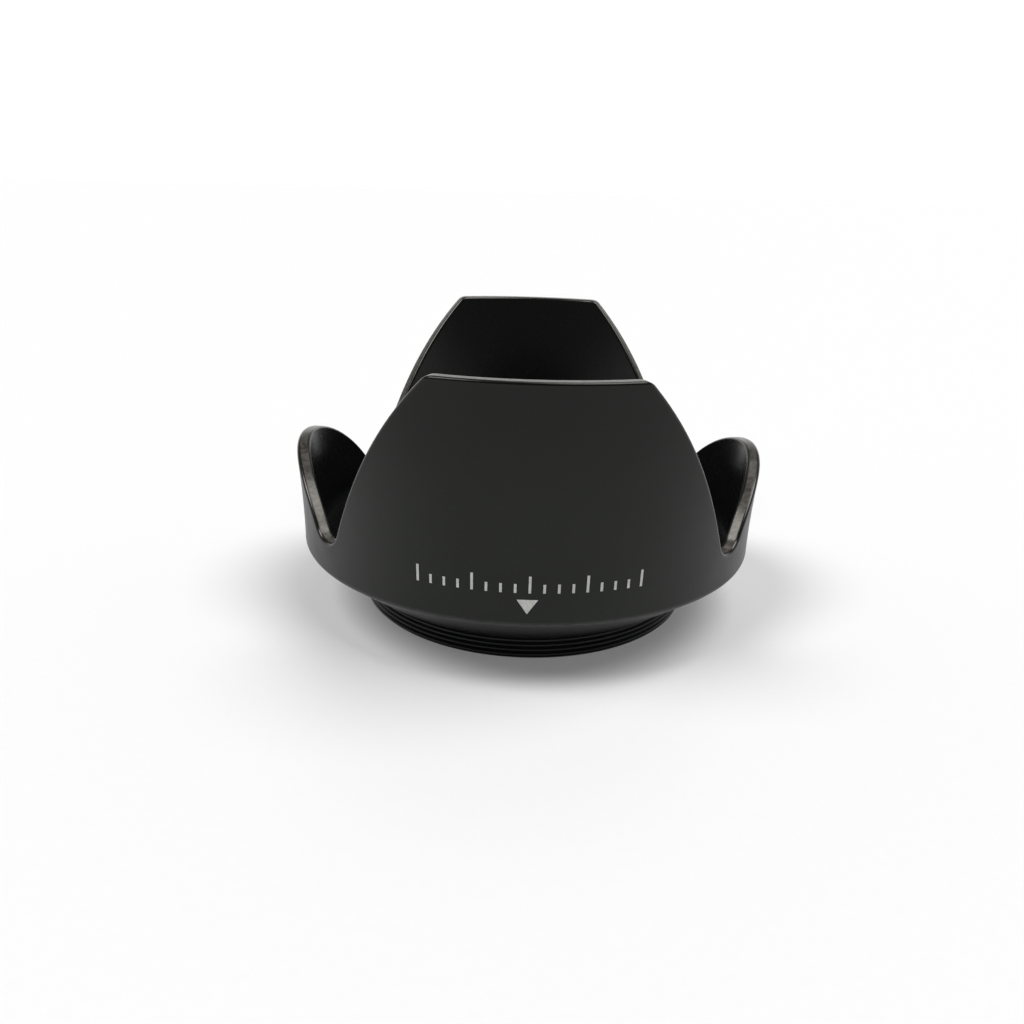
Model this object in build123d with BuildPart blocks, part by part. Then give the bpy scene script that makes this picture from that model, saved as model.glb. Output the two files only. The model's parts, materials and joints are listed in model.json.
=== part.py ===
from build123d import *
from math import cos, radians, sin
import os

# Screw-in petal lens hood, standing on its threaded ring with the petals up. Millimetres.
# The origin is the centre of the ring's lower face, +Z is the optical axis towards the subject,
# and -Y is the side of the long petal that carries the index mark.
# The threaded ring stays still in the lens. The shell turns about the ring's neck, and a nut
# inside the shell clamps the shell's floor against the ring's collar through a washer.

# Lens thread, M52 x 0.75
thread_radius = 26.0
thread_pitch = 0.75
thread_depth = 0.46
thread_lead_in = 0.5
thread_land_z = 3.4
thread_seat_z = 3.9
thread_core_radius = 25.0
thread_first_turn_z = -1.3175
thread_turn_count = 6
ridge_foot_half_width = 0.345
ridge_crest_half_width = 0.07
ridge_overlap = 0.1
ridge_excess = 0.05

# Threaded ring above the lens thread
collar_radius = 26.7
collar_top = 4.9
neck_radius = 24.5
neck_top = 11.9
aperture_radius = 23.4
ring_edge_chamfer = 0.3
baffle_depth = 0.3
baffle_pitch = 0.8
baffle_count = 6
baffle_first_z = 1.6

# Petal shell
wall_thickness = 2.0
wall_foot_radius = 35.43
wall_foot_z = 10.3
wall_middle_radius = 36.3
wall_middle_z = 26.6
wall_top_radius = 39.6
wall_top_z = 44.0
petal_top_z = 42.7
underside_inner_radius = 27.2
underside_inner_z = 4.1
foot_round = 1.0
floor_top = 8.0
floor_outer_radius = 29.6
floor_bore_radius = 24.56
recess_radius = 26.95
recess_top = 4.95
inner_wall_foot_z = 11.4
inner_wall_foot_round = 2.0
rim_round = 0.5

# Rim, drawn on the wall unrolled at one radius
unrolled_radius = 36.0
long_petal_half_angle = 19.5
long_petal_side_angle = 36.0
long_petal_side_z = 30.3
valley_corner_angle = 53.5
valley_corner_z = 10.8
side_petal_angle = 90.0
side_petal_top_z = 25.5
petal_corner_round = 2.0
valley_round = 4.0

# Clamp nut and its washer
stack_gap = 0.05
washer_thickness = 0.4
washer_inner_radius = 24.6
washer_outer_radius = 28.3
nut_height = 2.8
nut_bore_radius = 24.56
nut_outer_radius = 28.6
nut_chamfer = 0.3
nut_flute_count = 40
nut_flute_radius = 0.9
nut_flute_depth = 0.4

# Printed marks on the front of the shell
print_thickness = 0.05
print_gap = 0.01
print_reach = 60.0
index_angle = -0.45
index_half_width = 1.36
index_bottom_z = 12.0
index_top_z = 14.0
scale_bottom_z = 14.95
scale_major_top_z = 17.3
scale_minor_top_z = 16.2
scale_step_angle = 3.0
scale_steps_each_side = 8
scale_major_every = 4
tick_width = 0.34

# Solids that trim the wall along the rim
cutter_inner_radius = 28.0
cutter_outer_radius = 44.0
cutter_height = 60.0
samples_per_edge = 9

# How near an edge lies to the size it is picked by
pick_tolerance = 0.01

os.makedirs("parts", exist_ok=True)


def wall_line(offset):
    """The flaring side of the wall, moved outwards by offset, as three points of one arc."""
    return [
        (wall_foot_radius + offset, wall_foot_z),
        (wall_middle_radius + offset, wall_middle_z),
        (wall_top_radius + offset, wall_top_z),
    ]


def unrolled(angle, z):
    """The place on the unrolled wall of an angle from the index petal and a height."""
    return (radians(angle) * unrolled_radius, z)


def wrapped(edge, radius):
    """An edge of the unrolled rim, wrapped on a cylinder about the optical axis."""
    points = []
    for k in range(samples_per_edge):
        flat = edge @ (k / (samples_per_edge - 1))
        turn = flat.X / unrolled_radius
        points.append(Vector(radius * sin(turn), -radius * cos(turn), flat.Y))
    return Edge.make_spline(points)


def corner(line, place):
    """The vertices of a drawn line that lie at one place."""
    return [v for v in line.vertices() if (Vector(*v) - place).length < unrolled_radius / 1000]


def export(part, name):
    part.label = name
    export_step(part, f"parts/{name}.step")


def thread_turn(start_z):
    """One turn of the thread's ridge, starting on the +X side at start_z and rising one pitch."""
    root = thread_radius - thread_depth
    with BuildPart() as turn:
        with BuildLine():
            path = Helix(thread_pitch, thread_pitch, root, center=(0, 0, start_z))
        with BuildSketch(Plane(path @ 0, x_dir=(1, 0, 0), z_dir=path % 0)):
            with BuildLine():
                Polyline(
                    (-ridge_overlap, -ridge_foot_half_width),
                    (0, -ridge_foot_half_width),
                    (thread_depth + ridge_excess, -ridge_crest_half_width),
                    (thread_depth + ridge_excess, ridge_crest_half_width),
                    (0, ridge_foot_half_width),
                    (-ridge_overlap, ridge_foot_half_width),
                    close=True,
                )
            make_face()
        sweep(path=path, is_frenet=True)
    return turn.part


# Male lens thread: ridge turns on a core, trimmed to the crest, the lead-in and the seat
thread_turns = [thread_turn(thread_first_turn_z + k * thread_pitch) for k in range(thread_turn_count)]
with BuildPart() as lens_thread:
    with BuildSketch(Plane.XY.offset(-thread_seat_z)):
        Circle(thread_radius - thread_depth)
        Circle(thread_core_radius, mode=Mode.SUBTRACT)
    extrude(amount=3 * thread_seat_z)
    add(thread_turns)
    with BuildSketch(Plane.XZ):
        with BuildLine():
            Polyline(
                (thread_core_radius, 0),
                (thread_radius - thread_lead_in, 0),
                (thread_radius, thread_lead_in),
                (thread_radius, thread_land_z),
                (thread_core_radius, thread_land_z),
                close=True,
            )
        make_face()
    revolve(axis=Axis.Z, mode=Mode.INTERSECT)

# Threaded ring: lens thread, collar, and the neck that the shell and the nut ride on
with BuildPart() as mount_ring:
    with BuildSketch(Plane.XZ):
        with BuildLine():
            Polyline(
                (aperture_radius + ring_edge_chamfer, 0),
                (thread_core_radius, 0),
                (thread_core_radius, thread_land_z),
                (thread_radius, thread_land_z),
                (thread_radius, thread_seat_z),
                (collar_radius, thread_seat_z),
                (collar_radius, collar_top),
                (neck_radius, collar_top),
                (neck_radius, neck_top - ring_edge_chamfer),
                (neck_radius - ring_edge_chamfer, neck_top),
                (aperture_radius + ring_edge_chamfer, neck_top),
                (aperture_radius, neck_top - ring_edge_chamfer),
                (aperture_radius, ring_edge_chamfer),
                close=True,
            )
        make_face()
        # Stray-light grooves in the bore
        for k in range(baffle_count):
            groove_z = baffle_first_z + k * baffle_pitch
            with BuildLine():
                Polyline(
                    (aperture_radius, groove_z - baffle_depth),
                    (aperture_radius + baffle_depth, groove_z),
                    (aperture_radius, groove_z + baffle_depth),
                    close=True,
                )
            make_face(mode=Mode.SUBTRACT)
    revolve(axis=Axis.Z)
    add(lens_thread.part)
export(mount_ring.part, "mount_ring")

# Quarter of the rim on the unrolled wall: flat top, long side, valley and side petal
with BuildLine() as rim_quarter:
    long_top = Line(unrolled(0, petal_top_z), unrolled(long_petal_half_angle, petal_top_z))
    long_side = ThreePointArc(
        long_top @ 1,
        unrolled(long_petal_side_angle, long_petal_side_z),
        unrolled(valley_corner_angle, valley_corner_z),
    )
    TangentArc(unrolled(side_petal_angle, side_petal_top_z), long_side @ 1, tangent=(-1, 0))
    fillet(corner(rim_quarter, long_top @ 1), petal_corner_round)
    fillet(corner(rim_quarter, long_side @ 1), valley_round)

rim_cutters = []
for rim_edge in rim_quarter.edges():
    spoke_face = Face.make_surface_from_curves(
        wrapped(rim_edge, cutter_inner_radius), wrapped(rim_edge, cutter_outer_radius)
    )
    front_right = Solid.extrude(spoke_face, Vector(0, 0, cutter_height))
    front = [front_right, front_right.mirror(Plane.YZ)]
    rim_cutters += front + [piece.mirror(Plane.XZ) for piece in front]

# Petal shell: flared wall, conical underside and a floor with a bore, trimmed along the rim
with BuildPart() as hood_shell:
    with BuildSketch(Plane.XZ) as shell_section:
        with BuildLine():
            inner_wall = wall_line(-wall_thickness)
            inner_wall_foot = (inner_wall[0][0], inner_wall_foot_z)
            Line((underside_inner_radius, underside_inner_z), (wall_foot_radius, wall_foot_z))
            ThreePointArc(*wall_line(0))
            Line((wall_top_radius, wall_top_z), inner_wall[2])
            ThreePointArc(inner_wall[2], inner_wall[1], inner_wall_foot)
            Polyline(
                inner_wall_foot,
                (floor_outer_radius, floor_top),
                (floor_bore_radius, floor_top),
                (floor_bore_radius, recess_top),
                (recess_radius, recess_top),
                (recess_radius, underside_inner_z),
                (underside_inner_radius, underside_inner_z),
            )
        make_face()
        fillet(corner(shell_section, Vector(wall_foot_radius, wall_foot_z)), foot_round)
        fillet(corner(shell_section, Vector(*inner_wall_foot)), inner_wall_foot_round)
    revolve(axis=Axis.Z)
    add(rim_cutters, mode=Mode.SUBTRACT)
    outer_wall = hood_shell.faces().sort_by(SortBy.AREA)[-1]
    rim_edges = outer_wall.edges().filter_by(GeomType.BSPLINE)
    rim_edges += outer_wall.edges().filter_by_position(
        Axis.Z, petal_top_z - pick_tolerance, petal_top_z + pick_tolerance
    )
    fillet(rim_edges, rim_round)
export(hood_shell.part, "hood_shell")

# Thin washer that lets the nut tighten without dragging the shell round
washer_bottom = floor_top + stack_gap
with BuildPart() as friction_washer:
    with BuildSketch(Plane.XY.offset(washer_bottom)):
        Circle(washer_outer_radius)
        Circle(washer_inner_radius, mode=Mode.SUBTRACT)
    extrude(amount=washer_thickness)
export(friction_washer.part, "friction_washer")

# Clamp nut on the neck, with a fluted grip
nut_bottom = washer_bottom + washer_thickness + stack_gap
with BuildPart() as clamp_nut:
    with BuildSketch(Plane.XY.offset(nut_bottom)):
        Circle(nut_outer_radius)
        with PolarLocations(nut_outer_radius + nut_flute_radius - nut_flute_depth, nut_flute_count):
            Circle(nut_flute_radius, mode=Mode.SUBTRACT)
        Circle(nut_bore_radius, mode=Mode.SUBTRACT)
    extrude(amount=nut_height)
    bore_edges = clamp_nut.edges().filter_by(GeomType.CIRCLE).filter_by(
        lambda e: abs(e.radius - nut_bore_radius) < pick_tolerance
    )
    chamfer(bore_edges, nut_chamfer)
export(clamp_nut.part, "clamp_nut")

# Thin band that follows the wall, from which the printed marks are cut
with BuildPart() as print_band:
    with BuildSketch(Plane.XZ):
        with BuildLine():
            ThreePointArc(*wall_line(print_gap))
            outer_print = wall_line(print_gap + print_thickness)
            Line(wall_line(print_gap)[2], outer_print[2])
            ThreePointArc(outer_print[2], outer_print[1], outer_print[0])
            Line(outer_print[0], wall_line(print_gap)[0])
        make_face()
    revolve(axis=Axis.Z)

# Index mark: a triangle that points down to the lens
with BuildPart() as index_mark:
    with BuildSketch(Plane.XZ.rotated((0, 0, index_angle))):
        with BuildLine():
            Polyline(
                (-index_half_width, index_top_z),
                (index_half_width, index_top_z),
                (0, index_bottom_z),
                close=True,
            )
        make_face()
    extrude(amount=print_reach)
    add(print_band.part, mode=Mode.INTERSECT)
export(index_mark.part, "index_mark")

# Alignment scale: ticks either side of the index petal's middle, every fourth one taller
with BuildPart() as alignment_scale:
    for k in range(-scale_steps_each_side, scale_steps_each_side + 1):
        tick_top = scale_minor_top_z if k % scale_major_every else scale_major_top_z
        with BuildSketch(Plane.XZ.rotated((0, 0, k * scale_step_angle))):
            with Locations((0, (tick_top + scale_bottom_z) / 2)):
                Rectangle(tick_width, tick_top - scale_bottom_z)
        extrude(amount=print_reach)
    add(print_band.part, mode=Mode.INTERSECT)
export(alignment_scale.part, "alignment_scale")
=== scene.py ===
import json
import math

import bpy
import numpy as np
from mathutils import Matrix, Vector


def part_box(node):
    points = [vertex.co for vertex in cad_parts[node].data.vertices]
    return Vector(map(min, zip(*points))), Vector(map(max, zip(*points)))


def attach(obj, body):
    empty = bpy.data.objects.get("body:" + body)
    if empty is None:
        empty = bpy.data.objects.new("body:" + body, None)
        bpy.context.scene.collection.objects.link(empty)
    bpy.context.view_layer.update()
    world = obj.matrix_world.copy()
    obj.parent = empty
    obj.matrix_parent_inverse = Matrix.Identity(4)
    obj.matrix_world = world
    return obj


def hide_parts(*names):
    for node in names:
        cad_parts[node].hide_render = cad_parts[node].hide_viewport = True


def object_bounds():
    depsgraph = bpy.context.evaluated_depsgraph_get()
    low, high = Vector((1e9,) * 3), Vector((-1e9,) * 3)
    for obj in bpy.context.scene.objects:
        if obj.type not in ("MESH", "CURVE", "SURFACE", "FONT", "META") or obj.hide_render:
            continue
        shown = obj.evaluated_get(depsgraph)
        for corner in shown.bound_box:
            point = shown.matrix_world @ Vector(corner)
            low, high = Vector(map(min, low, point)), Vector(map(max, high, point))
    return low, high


# Looks of the petal lens hood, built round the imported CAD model. Metres, in the CAD's frame:
# +Z is the optical axis, -Y the side of the long petal with the index mark.
# Dimensions written here are in millimetres and become metres where a mesh is made.

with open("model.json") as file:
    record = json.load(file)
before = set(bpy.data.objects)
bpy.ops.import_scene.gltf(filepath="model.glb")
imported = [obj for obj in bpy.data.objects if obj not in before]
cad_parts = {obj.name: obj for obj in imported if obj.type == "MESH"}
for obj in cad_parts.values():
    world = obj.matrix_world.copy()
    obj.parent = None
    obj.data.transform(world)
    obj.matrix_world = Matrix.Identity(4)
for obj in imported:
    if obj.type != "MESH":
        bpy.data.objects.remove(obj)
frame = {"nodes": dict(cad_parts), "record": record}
cad_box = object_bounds()

MM = 0.001
FULL_TURN = 2 * math.pi

# ---------------------------------------------------------------- sizes from the frame
ring_low, ring_high = (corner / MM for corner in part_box("mount_ring"))
shell_low, shell_high = (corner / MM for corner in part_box("hood_shell"))
washer_low, washer_high = (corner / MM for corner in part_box("friction_washer"))
nut_low, nut_high = (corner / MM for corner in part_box("clamp_nut"))
mounts = {mount["name"]: mount for mount in frame["record"]["mounts"]}
thread_radius = mounts["lens_thread"]["dims"]["r_mm"]
seat_z = mounts["collar_seat"]["pos_m"][2] / MM

# ---------------------------------------------------------------- sizes of the shell
wall_thickness = 2.0
wall_places = [(35.43, 10.3), (36.3, 26.6), (39.6, 44.0)]
underside_inner_radius = 27.2
recess_radius = 26.95
recess_top = 4.95
floor_bore_radius = 24.56
washer_gap = 0.05
floor_top = washer_low.z - washer_gap
floor_outer_radius = 29.6
inner_wall_foot_z = 11.4
foot_round = 1.0
inner_foot_round = 2.0
edge_round = 0.08
rim_round = 0.5
rim_inner_round = 0.4

# Rim on the wall unrolled at one radius: angles from the index petal, heights and corner rounds
unrolled_radius = 36.0
petal_top_z = shell_high.z
long_petal_half_angle = math.radians(19.5)
long_petal_side = (math.radians(36.0), 30.3)
valley_corner = (math.radians(53.5), 10.8)
side_petal_top = (math.radians(90.0), 25.5)
petal_corner_round = 2.0
valley_round = 4.0

# How far below the rim the rows of the shell's mesh still follow it, and how far the flat's end rows
# stay from its rounds
rim_follow_depth = 1.25
flat_hold = 0.06

# Points along each part of a quarter of the rim, and rows of the shell's mesh over its section
top_points, corner_points, side_points, valley_points, side_petal_points = 22, 12, 72, 22, 46
follow_rows, wall_rows, inner_wall_rows = 5, 26, 20
inner_round_rows, flat_rows, outer_round_rows = 6, 4, 9
untrimmed_round_rows = 5
section_foot_rows, section_underside_row = 6, 8
underside_satin_share = 0.8

# ---------------------------------------------------------------- sizes of the ring and nut
thread_pitch = 0.75
thread_depth = 0.46
thread_lead_in = 0.5
thread_land_z = 3.4
thread_land_runout = 0.12
thread_phase_z = 2.4325
thread_first_row_gap = 0.03
thread_last_row_gap = 0.1
thread_row_pitch = 0.036
thread_softness = 0.11
ridge_foot_half_width = 0.345
ridge_crest_half_width = 0.085
collar_top = 4.9
neck_radius = 24.5
aperture_radius = 23.4
machined_edge = 0.12
crisp_round = 0.05
groove_root_round = 0.04
aperture_round = 0.25
ring_foot_round = 0.2
lead_in_round = 0.06
baffle_depth = 0.3
baffle_pitch = 0.8
baffle_count = 6
baffle_first_z = 1.6
washer_inner_radius = 24.6
washer_round = 0.1
nut_bore_radius = 24.56
nut_bore_round = 0.25
nut_low_round = 0.2
nut_high_round = 0.3
nut_flute_count = 40
nut_flute_radius = 0.9
nut_flute_depth = 0.4
nut_flute_ceiling = 1.6
nut_flute_fade = 1.4


# ---------------------------------------------------------------- plane geometry
def circle_through(a, b, c):
    """Centre and radius of the circle through three points."""
    (ax, ay), (bx, by), (cx, cy) = a, b, c
    d = 2 * (ax * (by - cy) + bx * (cy - ay) + cx * (ay - by))
    sa, sb, sc = ax * ax + ay * ay, bx * bx + by * by, cx * cx + cy * cy
    centre = np.array([
        (sa * (by - cy) + sb * (cy - ay) + sc * (ay - by)) / d,
        (sa * (cx - bx) + sb * (ax - cx) + sc * (bx - ax)) / d,
    ])
    return centre, float(np.hypot(*(centre - a)))


wall_centre, wall_curve_radius = circle_through(*wall_places)


def wall_radius(z):
    """Radius of the shell's outer wall at height z. The wall flares out along one arc."""
    return wall_centre[0] - math.copysign(1, wall_centre[0]) * np.sqrt(
        wall_curve_radius**2 - (z - wall_centre[1]) ** 2
    )


def arc(centre, radius, start, end, count):
    """Points along the shorter arc about centre from the direction of start to that of end."""
    a = math.atan2(start[1] - centre[1], start[0] - centre[0])
    b = math.atan2(end[1] - centre[1], end[0] - centre[0])
    turn = (b - a + math.pi) % FULL_TURN - math.pi
    angles = a + turn * np.linspace(0, 1, count)
    return np.column_stack([centre[0] + radius * np.cos(angles), centre[1] + radius * np.sin(angles)])


def rounded(corners, steps=4, hold=0.04):
    """The inner corners of an open outline, rounded. Corners are (r, z, round), and the outline's two ends
    only give directions. Holding points just before and after each round keep the flats between flat."""
    points = []
    for before, here, after in zip(corners, corners[1:], corners[2:]):
        corner = np.array(here[:2])
        back = np.array(before[:2]) - corner
        on = np.array(after[:2]) - corner
        back /= np.hypot(*back)
        on /= np.hypot(*on)
        half = math.acos(float(np.clip(back @ on, -1, 1))) / 2
        setback = here[2] / math.tan(half)
        centre = corner + (back + on) / np.hypot(*(back + on)) * here[2] / math.sin(half)
        start, end = corner + back * setback, corner + on * setback
        points += [start + back * hold, *arc(centre, here[2], start, end, steps + 1), end + on * hold]
    return np.array(points)


def closed_outline(corners, steps=4):
    """A closed outline of (r, z, round) corners, all rounded."""
    return rounded([corners[-1], *corners, corners[0]], steps)


# ---------------------------------------------------------------- meshes
def grid_piece(name, points, body, node, marks=None, second_rows=None):
    """A closed surface from points[row, column] in millimetres, whose rows and columns both join up. Rows
    run down the outside and up the inside. marks are numbers per row that its material reads, and
    second_rows says which rows start faces of its second material. It rides on body and stands for a CAD
    node."""
    rows, columns = points.shape[:2]
    index = np.arange(rows * columns).reshape(rows, columns)
    below, right = np.roll(index, -1, axis=0), np.roll(index, -1, axis=1)
    corner = np.roll(below, -1, axis=1)
    faces = np.stack([index, below, corner, right], axis=-1).reshape(-1, 4)
    mesh = bpy.data.meshes.new(name)
    mesh.from_pydata((points.reshape(-1, 3) * MM).tolist(), [], faces.tolist())
    mesh.shade_smooth()
    if second_rows is not None:
        mesh.polygons.foreach_set("material_index", np.repeat(second_rows, columns).astype(np.int32))
    for mark, values in (marks or {}).items():
        attribute = mesh.attributes.new(mark, "FLOAT", "POINT")
        attribute.data.foreach_set("value", np.repeat(values, columns).astype(np.float32))
    piece = bpy.data.objects.new(name, mesh)
    bpy.context.scene.collection.objects.link(piece)
    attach(piece, body)
    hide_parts(node)
    return piece


def on_axis(radius, turn, z):
    """Points at a radius, an angle from -Y towards +X, and a height."""
    radius, turn, z = np.broadcast_arrays(radius, turn, z)
    return np.stack([radius * np.sin(turn), -radius * np.cos(turn), z], axis=-1)


# ---------------------------------------------------------------- the rim's line
def rim_quarter():
    """The rim from the long petal's middle to the side petal's middle: points on the unrolled wall, and
    at each one the direction into the material."""
    along = [angle * unrolled_radius for angle, _ in (long_petal_side, valley_corner, side_petal_top)]
    top_end = np.array([long_petal_half_angle * unrolled_radius, petal_top_z])
    valley = np.array([along[1], valley_corner[1]])
    side_centre, side_radius = circle_through(top_end, (along[0], long_petal_side[1]), valley)
    summit = np.array([along[2], side_petal_top[1]])
    across, drop = summit - valley
    petal_radius = (across**2 + drop**2) / (2 * drop)
    petal_centre = summit - (0, petal_radius)

    # Round at the long petal's corner, inside the material
    inner = side_radius - petal_corner_round
    height = petal_top_z - petal_corner_round - side_centre[1]
    corner_centre = side_centre + (math.sqrt(inner**2 - height**2), height)
    corner_end = side_centre + (corner_centre - side_centre) * side_radius / inner

    # Round at the valley, outside the material and above both arcs
    reach_a, reach_b = side_radius + valley_round, petal_radius + valley_round
    between = petal_centre - side_centre
    distance = np.hypot(*between)
    share = (reach_a**2 - reach_b**2 + distance**2) / (2 * distance)
    lift = math.sqrt(reach_a**2 - share**2)
    valley_centre = side_centre + (between * share + np.array([-between[1], between[0]]) * lift) / distance
    valley_start = side_centre + (valley_centre - side_centre) * side_radius / reach_a
    valley_end = petal_centre + (valley_centre - petal_centre) * petal_radius / reach_b

    corner_start = corner_centre + (0, petal_corner_round)
    top = np.linspace((0, petal_top_z), corner_start, top_points)
    parts = [(top, np.tile([0.0, -1.0], (top_points, 1)))]
    for centre, radius, start, end, count, into in (
        (corner_centre, petal_corner_round, corner_start, corner_end, corner_points, -1),
        (side_centre, side_radius, corner_end, valley_start, side_points, -1),
        (valley_centre, valley_round, valley_start, valley_end, valley_points, 1),
        (petal_centre, petal_radius, valley_end, summit, side_petal_points, -1),
    ):
        points = arc(centre, radius, start, end, count)
        parts.append((points[1:], into * (points[1:] - centre) / radius))
    return np.concatenate([p for p, _ in parts]), np.concatenate([n for _, n in parts])


def rim_line():
    """The whole rim: its quarter, mirrored twice."""
    points, into = rim_quarter()
    for half_way in (points[-1, 0], 2 * points[-1, 0]):
        mirrored = points[::-1] * (-1, 1) + (2 * half_way, 0)
        points = np.concatenate([points, mirrored[1:]])
        into = np.concatenate([into, into[::-1][1:] * (-1, 1)])
    return points[:-1], into[:-1]


# ---------------------------------------------------------------- petal shell
def build_shell():
    rim, into = rim_line()
    follow = rim + into * rim_follow_depth
    turn_below = follow[:, 0] / unrolled_radius
    rows, marks = [], {"rim_mark": [], "flat_mark": [], "inside_mark": [], "foot_mark": []}

    def add_row(row, rim=0.0, flat=0.0, inside=0.0, foot=0.0):
        rows.append(row)
        for name, value in zip(marks, (rim, flat, inside, foot)):
            marks[name].append(value)

    def rim_row(depth, inset, **row_marks):
        """A row that follows the rim, at a depth below it and an inset from the outer wall."""
        place = rim + into * depth
        radius = wall_radius(place[:, 1]) - inset
        add_row(on_axis(radius, place[:, 0] / unrolled_radius, place[:, 1]), **row_marks)

    wall_foot = wall_places[0]
    inner_foot = (wall_foot[0] - wall_thickness, inner_wall_foot_z)
    section = rounded([
        (wall_radius(wall_foot[1] + 1), wall_foot[1] + 1, 0),
        (*wall_foot, foot_round),
        (underside_inner_radius, shell_low.z, edge_round),
        (recess_radius, shell_low.z, edge_round),
        (recess_radius, recess_top, edge_round),
        (floor_bore_radius, recess_top, edge_round),
        (floor_bore_radius, floor_top, 2 * edge_round),
        (floor_outer_radius, floor_top, 4 * edge_round),
        (*inner_foot, inner_foot_round),
        (wall_radius(inner_foot[1] + 1) - wall_thickness, inner_foot[1] + 1, 0),
    ], steps=5)
    outer_low_z, inner_low_z = section[0][1], section[-1][1]

    # Outer wall, downwards
    for share in np.linspace(0, 1, follow_rows):
        rim_row(rim_round + (rim_follow_depth - rim_round) * share, 0, rim=1 - share)
    for share in np.linspace(0, 1, wall_rows)[1:-1]:
        z = follow[:, 1] + (outer_low_z - follow[:, 1]) * share
        add_row(on_axis(wall_radius(z), turn_below, z))
    # Foot, underside, recess, bore and floor
    for k, (radius, z) in enumerate(section):
        inside = 1.0 if k > section_underside_row else underside_satin_share * float(k > section_foot_rows)
        add_row(on_axis(radius, turn_below, z), inside=inside, foot=float(1 < k < section_foot_rows))
    # Inner wall, upwards
    for share in np.linspace(0, 1, inner_wall_rows)[1:-1]:
        z = inner_low_z + (follow[:, 1] - inner_low_z) * share
        add_row(on_axis(wall_radius(z) - wall_thickness, turn_below, z), inside=1.0)
    for depth in np.linspace(rim_follow_depth, rim_inner_round, follow_rows):
        rim_row(depth, wall_thickness, inside=1.0)
    # Rim: inner round, flat and outer round
    for turn in np.linspace(0, math.pi / 2, inner_round_rows)[1:]:
        depth = rim_inner_round * (1 - math.sin(turn))
        rim_row(depth, wall_thickness - rim_inner_round * (1 - math.cos(turn)), rim=1.0, inside=1.0)
    flat_start = wall_thickness - rim_inner_round - flat_hold
    for inset in np.linspace(flat_start, rim_round + flat_hold, flat_rows):
        rim_row(0, inset, rim=1.0, flat=1.0)
    for turn in np.linspace(0, math.pi / 2, outer_round_rows)[:-1]:
        rim_row(rim_round * (1 - math.cos(turn)), rim_round * (1 - math.sin(turn)), rim=1.0)
    # The trimming took the flat, the inner round and the start of the outer round
    on_rim = np.array(marks["rim_mark"]) == 1
    trimmed_rows = on_rim & np.roll(on_rim, -1)
    trimmed_rows[-untrimmed_round_rows:] = False
    return grid_piece(
        "petal_shell", np.array(rows), "shell", "hood_shell", marks, trimmed_rows
    )


# ---------------------------------------------------------------- threaded ring
def thread_height(turn, z):
    """Radius of the thread's surface: ridges that rise one pitch a turn to the right, with soft edges."""
    phase = (z - thread_phase_z - thread_pitch * (turn - math.pi / 2) / FULL_TURN) / thread_pitch
    away = np.abs(phase - np.round(phase)) * thread_pitch
    climb = (ridge_foot_half_width - away) / (ridge_foot_half_width - ridge_crest_half_width)
    climb = np.clip(climb, 0, 1)
    soft = climb - thread_softness * np.sin(FULL_TURN * climb) / FULL_TURN
    ridge = thread_radius - thread_depth * (1 - soft)
    land = np.clip((z - thread_land_z) / thread_land_runout + 1, 0, 1)
    return ridge + (thread_radius - ridge) * land


def build_ring(columns=720):
    turn = np.arange(columns) * FULL_TURN / columns
    bottom = rounded([
        (aperture_radius, 1, 0),
        (aperture_radius, ring_low.z, ring_foot_round),
        (thread_radius - thread_lead_in, ring_low.z, lead_in_round),
        (thread_radius, thread_lead_in, 0),
    ])
    upper = rounded([
        (thread_radius, thread_land_z, 0),
        (thread_radius, seat_z, crisp_round),
        (ring_high.x, seat_z, machined_edge),
        (ring_high.x, collar_top, machined_edge),
        (neck_radius, collar_top, crisp_round),
        (neck_radius, ring_high.z, aperture_round),
        (aperture_radius, ring_high.z, aperture_round),
        (aperture_radius, ring_low.z, 0),
    ])
    bore = [(aperture_radius, ring_high.z, 0)]
    for k in reversed(range(baffle_count)):
        middle = baffle_first_z + k * baffle_pitch
        bore += [
            (aperture_radius, middle + baffle_depth, crisp_round),
            (aperture_radius + baffle_depth, middle, groove_root_round),
            (aperture_radius, middle - baffle_depth, crisp_round),
        ]
    bore = rounded([*bore, (aperture_radius, ring_low.z, 0)], steps=3, hold=0.02)
    rows = [on_axis(radius, turn, z) for radius, z in bottom]
    first_z, last_z = bottom[-1][1] + thread_first_row_gap, seat_z - thread_last_row_gap
    for z in np.arange(first_z, last_z, thread_row_pitch):
        lead_in = thread_radius - thread_lead_in + z - ring_low.z
        rows.append(on_axis(np.minimum(thread_height(turn, z), lead_in), turn, z))
    rows += [on_axis(radius, turn, z) for radius, z in np.concatenate([upper, bore])]
    return grid_piece("threaded_ring", np.array(rows[::-1]), "ring", "mount_ring")


# ---------------------------------------------------------------- nut and washer
def build_nut(columns=960):
    turn = np.arange(columns) * FULL_TURN / columns
    outline = closed_outline([
        (nut_bore_radius, nut_low.z, nut_bore_round),
        (nut_high.x, nut_low.z, nut_low_round),
        (nut_high.x, nut_high.z, nut_high_round),
        (nut_bore_radius, nut_high.z, nut_bore_round),
    ], steps=5)
    flute_angle = FULL_TURN / nut_flute_count
    away = (turn + flute_angle / 2) % flute_angle - flute_angle / 2
    flute_centre = nut_high.x + nut_flute_radius - nut_flute_depth
    across = np.clip(nut_flute_radius**2 - (flute_centre * np.sin(away)) ** 2, 0, None)
    cut = np.clip(nut_high.x - (flute_centre * np.cos(away) - np.sqrt(across)), 0, nut_flute_depth)
    rows = []
    for radius, z in outline:
        share = np.clip((radius - nut_high.x + nut_flute_ceiling) / nut_flute_fade, 0, 1)
        rows.append(on_axis(radius - cut * share, turn, z))
    return grid_piece("fluted_nut", np.array(rows[::-1]), "nut", "clamp_nut")


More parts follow.
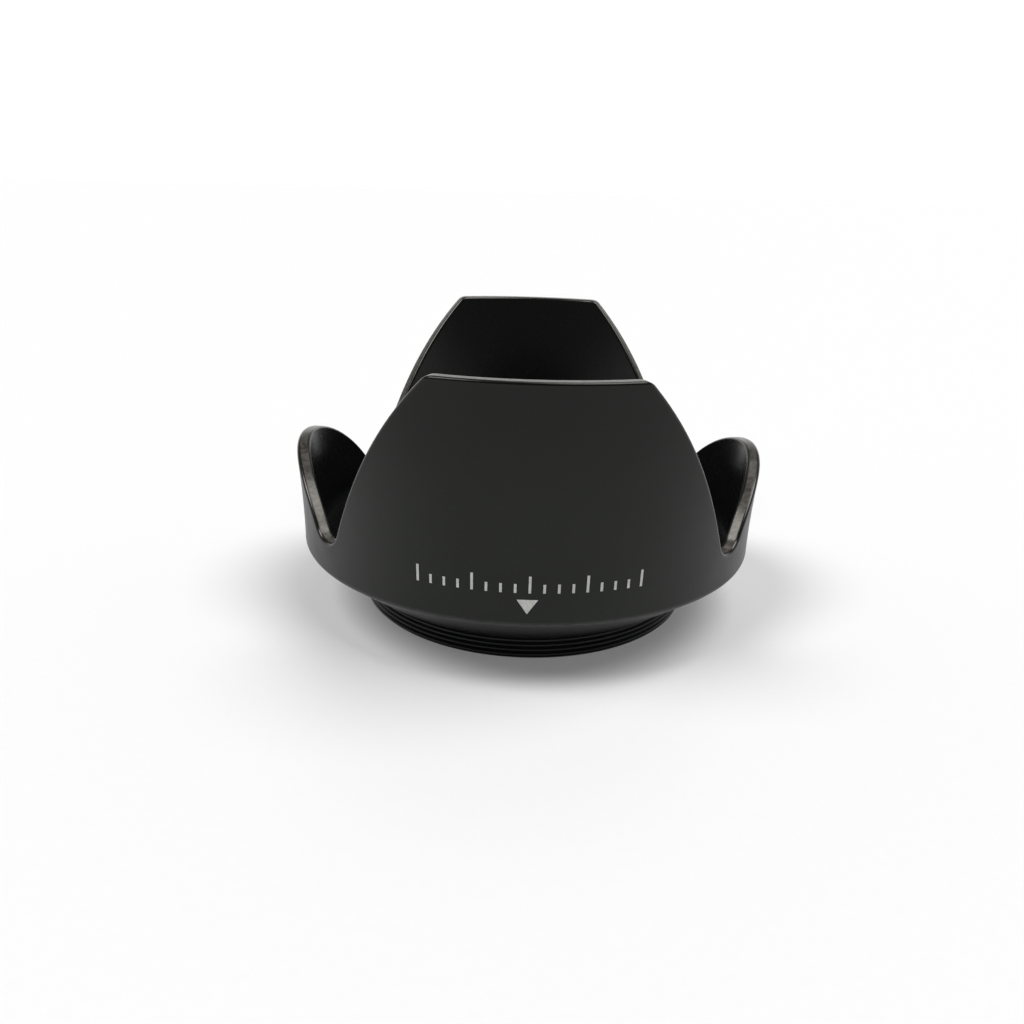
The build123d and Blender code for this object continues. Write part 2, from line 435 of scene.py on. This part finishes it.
def build_washer(columns=360):
    turn = np.arange(columns) * FULL_TURN / columns
    outline = closed_outline([
        (washer_inner_radius, washer_low.z, washer_round),
        (washer_high.x, washer_low.z, washer_round),
        (washer_high.x, washer_high.z, washer_round),
        (washer_inner_radius, washer_high.z, washer_round),
    ])
    rows = [on_axis(radius, turn, z) for radius, z in outline]
    return grid_piece("flat_washer", np.array(rows[::-1]), "washer", "friction_washer")


# ---------------------------------------------------------------- material helpers
class Recipe:
    """A material's node tree, with short ways to add nodes to it. Its textures are in millimetres."""

    def __init__(self, name):
        self.material = bpy.data.materials.new(name)
        self.material.use_nodes = True
        self.nodes, self.links = self.material.node_tree.nodes, self.material.node_tree.links
        self.shader = self.nodes["Principled BSDF"]
        place = self.add("ShaderNodeTexCoord").outputs["Object"]
        self.place = self.vector("SCALE", place, scale=1 / MM)

    def add(self, kind, inputs=None, **settings):
        node = self.nodes.new(kind)
        for key, value in settings.items():
            setattr(node, key, value)
        for key, value in (inputs or {}).items():
            self.put(node.inputs[key], value)
        return node

    def put(self, socket, value):
        if isinstance(value, bpy.types.NodeSocket):
            self.links.new(value, socket)
        else:
            socket.default_value = value

    def vector(self, operation, first, second=None, scale=None):
        node = self.add("ShaderNodeVectorMath", {0: first}, operation=operation)
        if second is not None:
            self.put(node.inputs[1], second)
        if scale is not None:
            node.inputs["Scale"].default_value = scale
        return node.outputs[0]

    def math(self, operation, first, second=0.0, third=0.0, clamp=False):
        inputs = {0: first, 1: second}
        if operation == "MULTIPLY_ADD":
            inputs[2] = third
        return self.add("ShaderNodeMath", inputs, operation=operation, use_clamp=clamp).outputs[0]

    def noise(self, scale, detail=2.0, place=None, distortion=0.0):
        inputs = {"Vector": place or self.place, "Scale": scale, "Detail": detail, "Distortion": distortion}
        return self.add("ShaderNodeTexNoise", inputs).outputs["Fac"]

    def ramp(self, value, low, high, to_low=0.0, to_high=1.0):
        """value taken smoothly from low..high to to_low..to_high, and held at the ends."""
        inputs = {"Value": value, "From Min": low, "From Max": high, "To Min": to_low, "To Max": to_high}
        return self.add("ShaderNodeMapRange", inputs, interpolation_type="SMOOTHSTEP").outputs["Result"]

    def mix(self, share, first, second):
        inputs = {"Factor": share, "A": first, "B": second}
        return self.add("ShaderNodeMix", inputs, data_type="FLOAT").outputs["Result"]

    def colours(self, share, first, second):
        node = self.add("ShaderNodeMix", data_type="RGBA")
        self.put(node.inputs[0], share)
        self.put(node.inputs[6], first if isinstance(first, bpy.types.NodeSocket) else (*first, 1))
        self.put(node.inputs[7], second if isinstance(second, bpy.types.NodeSocket) else (*second, 1))
        return node.outputs[2]

    def mark(self, name):
        return self.add("ShaderNodeAttribute", attribute_name=name).outputs["Fac"]

    def specks(self, spacing, size, share):
        """Tiny round specks: one in some of the cells of the given spacing."""
        cells = self.add("ShaderNodeTexVoronoi", {"Vector": self.place, "Scale": 1 / spacing})
        near = self.ramp(cells.outputs["Distance"], size / spacing, 0.4 * size / spacing)
        chosen = self.add("ShaderNodeSeparateColor", {"Color": cells.outputs["Color"]}).outputs[0]
        return self.math("MULTIPLY", near, self.math("GREATER_THAN", chosen, 1 - share))

    def bump(self, height, depth, normal=None):
        inputs = {"Height": height, "Distance": depth * MM, "Strength": 1.0}
        if normal is not None:
            inputs["Normal"] = normal
        return self.add("ShaderNodeBump", inputs).outputs["Normal"]

    def finish(self, colour, roughness, normal, **uniform):
        self.put(self.shader.inputs["Base Color"], colour)
        self.put(self.shader.inputs["Roughness"], roughness)
        self.put(self.shader.inputs["Normal"], normal)
        for socket, value in uniform.items():
            self.shader.inputs[socket.replace("_", " ")].default_value = value
        return self.material


# ---------------------------------------------------------------- materials
def shell_material():
    """Moulded black plastic: fine spark-eroded grain outside, whose peaks carry a painted highlight,
    painted shade darkening the wall towards the top, a painted dark band below the rim, the foot's round
    lighter from rubbing and from a painted highlight, and satin inside.
    """
    m = Recipe("shell_moulded_plastic")
    inside = m.mark("inside_mark")
    near_rim = m.ramp(m.mark("rim_mark"), 0.4, 1.0)
    glossy = m.ramp(m.mark("rim_mark"), 0.9, 1.0)
    outside = m.math("SUBTRACT", 1.0, inside)
    grain = m.noise(4.2, 3)
    pebble = m.add("ShaderNodeTexVoronoi", {"Vector": m.place, "Scale": 3.4}, feature="SMOOTH_F1")
    texture = m.math("MULTIPLY_ADD", pebble.outputs["Distance"], 0.6, grain)
    grain_share = m.math("MULTIPLY", outside, m.math("SUBTRACT", 1.0, near_rim))
    smudge = m.noise(0.055, 4)
    cloud = m.noise(0.35, 3)

    height = m.add("ShaderNodeSeparateXYZ", {0: m.place}).outputs[2]
    face = m.colours(m.ramp(smudge, 0.35, 0.65), (0.0056, 0.0064, 0.0058), (0.0076, 0.0086, 0.0079))
    # Painted highlight: the grain's peaks are painted lighter, standing in for light catching them.
    grain_peak_highlight = m.math("MULTIPLY", grain_share, m.ramp(grain, 0.58, 0.80))
    face = m.colours(grain_peak_highlight, face, (0.0125, 0.0138, 0.0130))
    # Painted shade: the outside is painted darker towards the top of the wall, where its flare turns it
    # from the light.
    face = m.colours(m.ramp(height, 20.0, 42.0, 0.0, 0.8), face, (0.0010, 0.0012, 0.0011))
    # The foot's round is painted lighter in noisy patches: partly rubbed wear, partly a painted highlight
    # along the bottom edge.
    rubbed = m.math("MULTIPLY", m.mark("foot_mark"), m.ramp(m.noise(0.8, 4), 0.25, 0.55))
    face = m.colours(rubbed, face, (0.018, 0.019, 0.018))
    # The rim's outer round and a band just below it are painted darker: on the round this is the glossy
    # rim's own black, below it a painted dark reflection that widens the dark edge.
    face = m.colours(near_rim, face, (0.0040, 0.0038, 0.0036))
    face = m.colours(inside, face, (0.0042, 0.0045, 0.0044))
    dust = m.math("ADD", m.specks(4.6, 0.07, 0.20), m.specks(11.0, 0.12, 0.16), clamp=True)
    colour = m.colours(m.math("MULTIPLY", dust, outside), face, (0.06, 0.06, 0.057))

    face_rough = m.math("MULTIPLY_ADD", m.math("SUBTRACT", cloud, 0.5), 0.10, 0.39)
    inside_rough = m.math("MULTIPLY_ADD", m.math("SUBTRACT", cloud, 0.5), 0.05, 0.27)
    roughness = m.mix(glossy, m.mix(inside, face_rough, inside_rough), 0.20)
    normal = m.bump(m.math("MULTIPLY", texture, m.math("MULTIPLY_ADD", grain_share, 0.95, 0.05)), 0.008)
    tint = (0.96, 1.0, 0.94, 1)
    return m.finish(colour, roughness, normal, Specular_IOR_Level=0.24, IOR=1.5, Specular_Tint=tint)


def rim_material():
    """The shell's rim, where the mould's parting line was trimmed: glossy rounds, and a flat with faint
    dust streaks that sparkle, painted light and warm partly as dust and partly as a painted highlight."""
    m = Recipe("rim_trimmed_plastic")
    flat = m.ramp(m.mark("flat_mark"), 0.3, 1.0)
    stretched = m.vector("MULTIPLY", m.place, (0.8, 0.8, 1.4))
    streak = m.noise(1.6, 6, stretched, 0.5)
    fine = m.noise(6.5, 3)
    # The flat's dust streaks are painted light and warm: partly dust on the trimmed face, partly a painted
    # highlight.
    dusty_and_highlight = m.math("MULTIPLY", flat, m.ramp(streak, 0.34, 0.66))
    colour = m.colours(dusty_and_highlight, (0.0040, 0.0038, 0.0036), (0.054, 0.048, 0.039))
    flat_rough = m.math("MULTIPLY_ADD", fine, 0.14, 0.22)
    roughness = m.mix(flat, m.math("MULTIPLY_ADD", fine, 0.06, 0.18), flat_rough)
    normal = m.bump(m.math("MULTIPLY", m.math("ADD", streak, fine), flat), 0.009)
    tint = (1.0, 0.97, 0.90, 1)
    return m.finish(colour, roughness, normal, Specular_IOR_Level=0.5, IOR=1.5, Specular_Tint=tint)


def machined_material(name, dark, light, roughness, lathe_depth):
    """Black-anodised aluminium with fine turning marks that run round the axis and rubbed high spots."""
    m = Recipe(name)
    parts = m.add("ShaderNodeSeparateXYZ", {0: m.place})
    out = m.math("SQRT", m.math(
        "ADD", m.math("POWER", parts.outputs[0], 2.0), m.math("POWER", parts.outputs[1], 2.0)
    ))
    section = m.add("ShaderNodeCombineXYZ", {0: out, 1: parts.outputs[2]}).outputs[0]
    lathe = m.noise(9.0, 3, section)
    cloud = m.noise(0.30, 4)
    grain = m.noise(11.0, 2)
    rubbed = m.math("MULTIPLY", m.ramp(cloud, 0.50, 0.72), m.ramp(lathe, 0.52, 0.66))
    colour = m.colours(m.math("MULTIPLY_ADD", rubbed, 0.8, m.math("MULTIPLY", cloud, 0.15)), dark, light)
    colour = m.colours(m.specks(3.2, 0.06, 0.25), colour, (0.08, 0.08, 0.078))
    rough = m.math("MULTIPLY_ADD", m.math("SUBTRACT", cloud, 0.5), 0.16, roughness)
    rough = m.math("MULTIPLY_ADD", m.math("SUBTRACT", lathe, 0.5), 0.12, rough)
    normal = m.bump(lathe, lathe_depth)
    normal = m.bump(grain, 0.003, normal)
    return m.finish(colour, rough, normal, Metallic=0.2, IOR=1.5)


def nylon_material():
    """Smooth black nylon with faint flow marks and fine scuffs from the nut."""
    m = Recipe("washer_nylon")
    flow = m.noise(0.4, 3, distortion=0.8)
    scuff = m.noise(1.0, 4, m.vector("MULTIPLY", m.place, (3.0, 0.6, 1.0)))
    colour = m.colours(m.ramp(flow, 0.35, 0.65), (0.020, 0.020, 0.021), (0.030, 0.030, 0.031))
    colour = m.colours(m.ramp(scuff, 0.66, 0.8), colour, (0.06, 0.06, 0.06))
    rough = m.math("MULTIPLY_ADD", scuff, 0.22, 0.30)
    return m.finish(colour, rough, m.bump(m.noise(5.0, 3), 0.004), IOR=1.53)


def print_material():
    """Pad-printed light grey ink: slightly uneven cover, pinholes and a chalky surface."""
    m = Recipe("print_ink")
    cover = m.noise(2.6, 4)
    pinholes = m.math("MULTIPLY", m.ramp(m.noise(7.0, 2), 0.66, 0.74), 0.55)
    colour = m.colours(m.ramp(cover, 0.3, 0.7), (0.44, 0.445, 0.425), (0.54, 0.545, 0.525))
    colour = m.colours(pinholes, colour, (0.12, 0.12, 0.118))
    rough = m.math("MULTIPLY_ADD", cover, 0.2, 0.5)
    return m.finish(colour, rough, m.bump(cover, 0.006), IOR=1.48)


def studio_material():
    """Pale paper with a barely visible tooth, which glows a little as if lit from below."""
    m = Recipe("studio_paper")
    tooth = m.noise(0.9, 4)
    colour = m.colours(tooth, (0.60, 0.60, 0.60), (0.62, 0.62, 0.62))
    m.shader.inputs["Emission Color"].default_value = (1.0, 1.0, 1.0, 1)
    rough = m.math("MULTIPLY_ADD", tooth, 0.05, 0.85)
    return m.finish(colour, rough, m.bump(tooth, 0.01), Emission_Strength=0.14)


def paint(piece, material):
    piece.data.materials.append(material)


def paint_node(node_name, material):
    """Gives a CAD node that stays shown a new material in its object's slots."""
    for slot in frame["nodes"][node_name].material_slots:
        slot.link = "OBJECT"
        slot.material = material


shell = build_shell()
paint(shell, shell_material())
paint(shell, rim_material())
ring_colours = ((0.008, 0.0088, 0.0100), (0.026, 0.028, 0.031))
nut_colours = ((0.011, 0.0115, 0.012), (0.040, 0.041, 0.043))
paint(build_ring(), machined_material("ring_anodised", *ring_colours, 0.42, 0.010))
paint(build_nut(), machined_material("nut_anodised", *nut_colours, 0.36, 0.008))
paint(build_washer(), nylon_material())
ink = print_material()
for mark_node in ("index_mark", "alignment_scale"):
    paint_node(mark_node, ink)


# ---------------------------------------------------------------- studio
def build_floor():
    """A wide pale floor, round so that it ends at one distance on every side."""
    reach, rings, spokes = 6.0, 24, 96
    vertices = [(0, 0, 0)]
    for ring in range(1, rings + 1):
        radius = reach * (ring / rings) ** 2
        for spoke in range(spokes):
            angle = FULL_TURN * spoke / spokes
            vertices.append((radius * math.cos(angle), radius * math.sin(angle), 0))
    faces = [(0, 1 + k, 1 + (k + 1) % spokes) for k in range(spokes)]
    for ring in range(rings - 1):
        first, second = 1 + ring * spokes, 1 + (ring + 1) * spokes
        for k in range(spokes):
            on = (k + 1) % spokes
            faces.append((first + k, second + k, second + on, first + on))
    mesh = bpy.data.meshes.new("studio_floor")
    mesh.from_pydata(vertices, [], faces)
    floor = bpy.data.objects.new("studio_floor", mesh)
    floor.location.z = cad_box[0].z
    bpy.context.scene.collection.objects.link(floor)
    paint(floor, studio_material())


def soft_light(name, direction, strength, angle):
    """A large soft light, far off in the given direction and that wide across."""
    light = bpy.data.lights.new(name, "SUN")
    light.energy = strength
    light.angle = math.radians(angle)
    lamp = bpy.data.objects.new(name, light)
    lamp.rotation_euler = Vector(direction).to_track_quat("Z", "Y").to_euler()
    bpy.context.scene.collection.objects.link(lamp)


def build_world():
    """Bright surroundings, dimmer higher up and dark over the photographer's side. The background that
    the camera sees itself is white all round."""
    world = bpy.data.worlds.new("studio_surroundings")
    bpy.context.scene.world = world
    world.use_nodes = True
    nodes, links = world.node_tree.nodes, world.node_tree.links
    direction = nodes.new("ShaderNodeTexCoord").outputs["Generated"]

    def share_towards(aim, start, end, low, high):
        towards = nodes.new("ShaderNodeVectorMath")
        towards.operation = "DOT_PRODUCT"
        towards.inputs[1].default_value = Vector(aim).normalized()
        links.new(direction, towards.inputs[0])
        share = nodes.new("ShaderNodeMapRange")
        share.interpolation_type = "SMOOTHSTEP"
        for name, value in (("From Min", start), ("From Max", end), ("To Min", low), ("To Max", high)):
            share.inputs[name].default_value = value
        links.new(towards.outputs["Value"], share.inputs["Value"])
        return share.outputs["Result"]

    strength = nodes.new("ShaderNodeMath")
    strength.operation = "MULTIPLY"
    links.new(share_towards((0, 0, 1), 0.22, 0.50, 1.15, 0.18), strength.inputs[0])
    links.new(share_towards((0, -0.64, 0.77), 0.25, 0.65, 1.0, 0.12), strength.inputs[1])
    background = nodes["Background"]
    background.inputs["Color"].default_value = (1.0, 1.0, 1.0, 1)
    seen = nodes.new("ShaderNodeMath")
    seen.operation = "MAXIMUM"
    links.new(strength.outputs[0], seen.inputs[0])
    links.new(nodes.new("ShaderNodeLightPath").outputs["Is Camera Ray"], seen.inputs[1])
    links.new(seen.outputs[0], background.inputs["Strength"])


build_floor()
soft_light("light_left", (-0.50, -0.20, 0.84), 1.95, 30)
soft_light("light_right", (0.38, -0.08, 0.92), 2.20, 40)
soft_light("light_back", (0.10, 0.50, 0.86), 0.20, 24)
build_world()

# ---------------------------------------------------------------- camera
camera_place = Vector((-3.226, -137.268, 63.856)) * MM
camera_aim = Vector((-2.361, -8.925, 15.936)) * MM
camera_roll = math.radians(1.665)
camera_data = bpy.data.cameras.new("photo_view")
camera_data.lens = 31.317
camera_data.sensor_width = 36.0
camera_data.clip_start = 0.005
camera = bpy.data.objects.new("photo_view", camera_data)
bpy.context.scene.collection.objects.link(camera)
look = (camera_aim - camera_place).to_track_quat("-Z", "Y").to_matrix()
rolled = (look @ Matrix.Rotation(camera_roll, 3, "Z")).to_4x4()
camera.matrix_world = Matrix.Translation(camera_place) @ rolled
bpy.context.scene.camera = camera
bpy.context.scene.view_settings.view_transform = "Standard"
